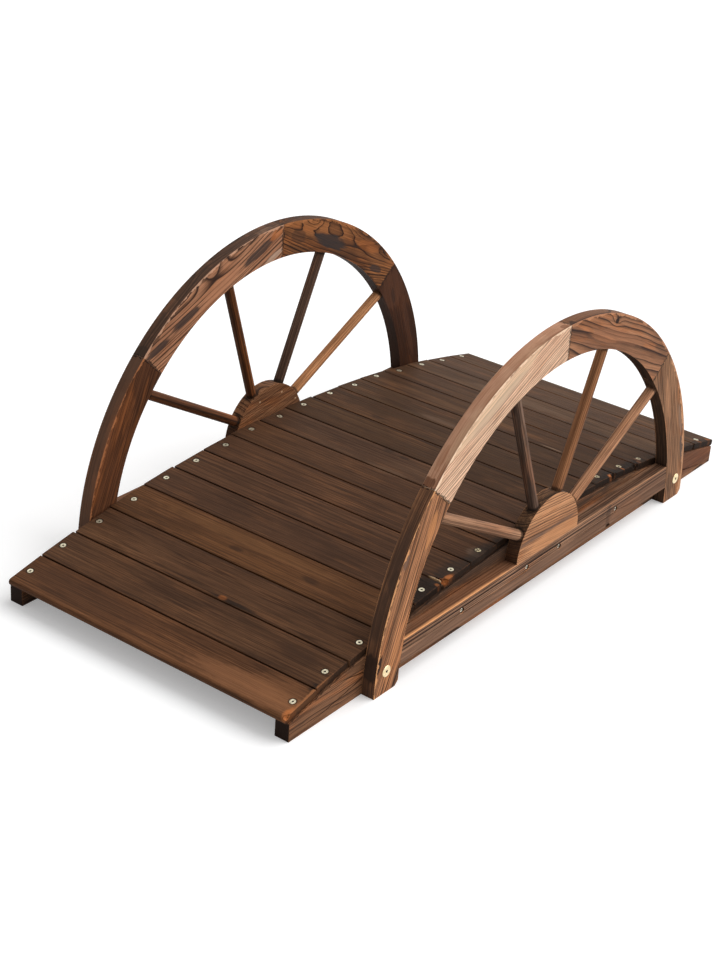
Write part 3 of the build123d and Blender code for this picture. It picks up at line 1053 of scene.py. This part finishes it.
# rim pieces, far foot first: what they share, then each one's own look
felloe_common = dict(contrast=1.0, lines=0.4, ember=0.35, wear=0.7)
# in these looks the soot faces, turned from the key light or facing down, are partly scorch and partly
# painted shade
felloe_looks = {
    ("right", 0): dict(
        light=(182, 134, 98), dark=(118, 84, 62), line=(50, 34, 27), spacing=4.6, pith=(70, -40), waver=2.0,
        soot_and_shade=(((-1, 0, 0), 0.6), ((-1, 0, -1), 0.7)), rim=(0.5, 6, 0.6, 0), rim_wear=0.6,
    ),
    ("right", 1): dict(
        light=(178, 126, 92), dark=(122, 83, 62), line=(50, 35, 30), spacing=10.5, pith=(-86, -26), waver=7,
        lines=0.35, banding=0.55, soot_and_shade=(((0, 0, -1), 0.85), ((-1, 0, -0.6), 0.85)), rim=(0.4, 6, 0.85, 0),
        rim_tone=(70, 50, 40), rim_wear=0.5,
    ),
    ("right", 2): dict(
        light=(254, 212, 178), dark=(214, 158, 126), line=(84, 58, 46), spacing=5.0, pith=(-84, -8),
        contrast=0.9, waver=1.4, lines=0.45, banding=0.15, fibre=0.25, wear_tone=(250, 218, 186),
        soot_and_shade=(((0, 0, -1), 0.6),), rim=(0.4, 5, 0.6, 0), rim_tone=(150, 97, 68), rim_wear=0.8,
    ),
    ("right", 3): dict(
        light=(206, 143, 99), dark=(136, 92, 66), line=(48, 34, 28), spacing=4.6, pith=(-76, -50),
        waver=1.6, lines=0.75, fibre=0.4, wear=1.0, wear_tone=(238, 172, 116), soot_and_shade=(((-1, 0, -0.2), 0.3),),
        rim=(0.62, 6, 0.7, 0), rim_tone=(76, 56, 45), rim_wear=0.7,
    ),
    ("left", 0): dict(
        light=(76, 45, 29), dark=(54, 32, 21), line=(36, 23, 17), spacing=5.0, pith=(-60, -30),
        contrast=0.5, waver=3, lines=0.35, ember=0.1, rim=(0.5, 6, 0.5, 0),
    ),
    ("left", 1): dict(
        light=(182, 117, 70), dark=(84, 54, 37), line=(34, 24, 20), spacing=5.6, pith=(22, -14), waver=9,
        banding=0.6, blotch=0.9, ember=0.3, wear_tone=(196, 128, 80), rim=(0.7, 6, 0.95, 5),
        rim_tone=(46, 33, 27), rim_wear=0.5,
    ),
    ("left", 2): dict(
        light=(214, 154, 116), dark=(148, 100, 74), line=(54, 37, 31), spacing=8.0, pith=(44, -16),
        waver=3.2, banding=0.4, bow=2.5, ember=0.2, wear=0.4, wear_tone=(226, 176, 144),
        rim=(0.78, 14, 0.7, 0), rim_tone=(62, 48, 40), rim_wear=0.7,
    ),
    ("left", 3): dict(
        light=(112, 70, 46), dark=(74, 47, 33), line=(42, 28, 21), spacing=4.6, pith=(-70, -40),
        contrast=0.8, waver=1.6, ember=0.3, wear_tone=(184, 118, 76), rim=(0.5, 3, 0.5, 0),
        rim_tone=(100, 76, 62), rim_wear=0.8,
    ),
}

# the dark line at a joint between two rim pieces; the sawn feet have none
seam_strength = 0.8
for (side, index), felloe_look in felloe_looks.items():
    sign = side_signs[side]
    start, end = felloe_ends(side, index)
    middle = (start + end) / 2
    turn = radians(middle)
    axes = ((sin(turn), 0, -cos(turn)), (cos(turn), 0, sin(turn)), (0, -1, 0))
    centre_x = wheel_centre[0] + rim_middle * cos(turn)
    centre_z = wheel_centre[1] + rim_middle * sin(turn)
    spots = []
    for tone, angle, radius, reach_along, reach_across, strength in rim_marks[(side, index)]:
        place = rim_place(middle, angle, radius)
        spots.append(Spot(tone, place, (reach_along, reach_across, 16), strength, ragged=0.45, soft=0.18))
    for tone, angle, depth, reach_along, reach_depth, strength in outer_marks.get((side, index), ()):
        place = rim_place(middle, angle, wheel_outer_radius, depth)
        spots.append(Spot(tone, place, (reach_along, 9, reach_depth), strength, ragged=0.5, soft=0.15))
    knots = []
    for angle, radius, size, core in rim_knots.get((side, index), ()):
        along, across, depth = rim_place(middle, angle, radius)
        knots.append((along, across, size, core))
    look = dict(felloe_common, seed=51.0 + index * 2.1 + sign, spots=spots, knots=knots)
    look["half_span"] = radians(middle - start)
    look["seams"] = (0.0 if end == 180 else seam_strength, 0.0 if start == 0 else seam_strength)
    look.update(felloe_look)
    centre = (centre_x, sign * wheel_middle, centre_z)
    dress("felloe_%s_%d" % (side, index + 1), centre, axes, look, bevel=1.3)

# spokes: the common look, then the light and dark tone of each
spoke_look = dict(
    spacing=4.2, pith=(16, -9), contrast=1.0, waver=1.0, lines=0.6, banding=0.6, ember=0.2, wear=0.0,
    # char and painted shade on the sides turned from the key light and downward
    soot_and_shade=(((-1, 0, -0.5), 0.65),),
)
spoke_tones = {
    "right": (
        ((212, 158, 120), (150, 104, 76)),
        ((218, 154, 106), (128, 84, 58)),
        ((132, 104, 86), (80, 60, 50)),
        ((208, 160, 124), (132, 94, 72)),
    ),
    "left": (
        ((240, 176, 124), (172, 118, 80)),
        ((126, 96, 78), (80, 60, 50)),
        ((144, 86, 48), (70, 46, 32)),
        ((150, 92, 56), (60, 40, 30)),
    ),
}
spoke_slants = {"right": (28.8, 67.4, 113.1, 152.2), "left": (27.1, 65.5, 108.3, 151.0)}

# half a spoke's width, which a slanting spoke adds to its box, and how far in from its two hidden ends the
# painted shade lies, where the spoke goes into the hub and the rim
spoke_half_width = 10.0
shade_from_hub_end = 27.0
shade_from_rim_end = 17.0
for side, sign in side_signs.items():
    for index, (light, dark) in enumerate(spoke_tones[side]):
        name = "spoke_%s_%d" % (side, index + 1)
        low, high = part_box(name)
        centre = (low + high) / 2 / MM
        slant = radians(spoke_slants[side][index])
        axes = ((cos(slant), 0, sin(slant)), (-sin(slant), 0, cos(slant)), (0, -1, 0))
        half_length = (high.x - low.x) / 2 / MM / abs(cos(slant))
        half_length -= spoke_half_width * abs(tan(slant))
        look = dict(spoke_look, light=light, dark=dark, seed=71.0 + index * 1.9 + sign)
        # painted shade where the spoke goes into the hub and into the rim
        look["spots"] = [
            Spot(CHAR, (place, 0, 0), (6, 30, 30), 0.8, ragged=0.4)
            for place in (shade_from_hub_end - half_length, half_length - shade_from_rim_end)
        ]
        dress(name, centre, axes, look, bevel=0)


def seen_directly(g):
    """1 for rays from the camera, mirrors and glass, 0 for the soft light between surfaces."""
    ray = g.node("LightPath").outputs
    mirrored = g.maths("MAXIMUM", ray["Is Glossy Ray"], ray["Is Transmission Ray"])
    return g.maths("MAXIMUM", ray["Is Camera Ray"], mirrored)


# white floor that keeps the soft shadow, white all round for the camera
WHITE = (1, 1, 1, 1)
floor_white = (0.84, 0.84, 0.84, 1)
floor_lift = 0.29
floor_half = 30000.0
sky_light = 0.38

floor_mesh = bpy.data.meshes.new("studio_floor")
floor_corners = ((-1, -1), (1, -1), (1, 1), (-1, 1))
floor_points = [(x * floor_half * MM, y * floor_half * MM, 0) for x, y in floor_corners]
floor_mesh.from_pydata(floor_points, [], [(0, 1, 2, 3)])
floor = add_object("studio_floor", floor_mesh)
floor_material, g = new_material("studio_floor")
matte = g.node("BsdfDiffuse", {"Color": floor_white})
lift = g.node("Emission", {"Color": WHITE, "Strength": g.times(seen_directly(g), floor_lift)})
both = g.node("AddShader", {0: matte.outputs[0], 1: lift.outputs[0]})
g.node("OutputMaterial", {"Surface": both.outputs[0]})
floor_mesh.materials.append(floor_material)

world = bpy.data.worlds.new("studio")
scene.world = world
world.use_nodes = True
world.node_tree.nodes.clear()
g = Graph(world.node_tree)
brightness = g.fade(seen_directly(g), 0.0, 1.0, sky_light, 1.0)
back = g.node("Background", {"Color": WHITE, "Strength": brightness})
g.node("OutputWorld", {"Surface": back.outputs[0]})


def soft_lamp(name, toward, strength, spread):
    """A broad distant lamp that shines from a direction given as a point seen from the object."""
    lamp = bpy.data.lights.new(name, "SUN")
    lamp.energy = strength
    lamp.angle = radians(spread)
    add_object(name, lamp).rotation_euler = Vector(toward).to_track_quat("Z", "Y").to_euler()


soft_lamp("key", (0.88, -0.74, 1.0), 2.9, 70)
soft_lamp("fill", (0.2, 0.5, 1.0), 0.3, 90)

# camera matched to the photograph: place in metres, turn in degrees, long side of the picture in pixels
camera_place = (-2.88671, -1.97320, 1.88810)
camera_yaw = 54.4479
camera_pitch = -27.1266
camera_roll = 4.2825
focal_pixels = 1917.185
picture_height = 960
sensor = 36.0

yaw, pitch, roll = (radians(value) for value in (camera_yaw, camera_pitch, camera_roll))
ahead = Vector((sin(yaw) * cos(pitch), cos(yaw) * cos(pitch), sin(pitch)))
level = Vector((cos(yaw), -sin(yaw), 0))
upward = level.cross(ahead)
side_axis = cos(roll) * level + sin(roll) * upward
top_axis = -sin(roll) * level + cos(roll) * upward
camera_data = bpy.data.cameras.new("camera")
camera_data.sensor_width = sensor
camera_data.lens = sensor * focal_pixels / picture_height
camera_data.clip_start = 0.05
camera_data.clip_end = 100
camera = add_object("camera", camera_data)
camera_turn = Matrix((side_axis, top_axis, -ahead)).transposed().to_4x4()
camera.matrix_world = Matrix.Translation(camera_place) @ camera_turn
scene.camera = camera
scene.view_settings.view_transform = "Standard"
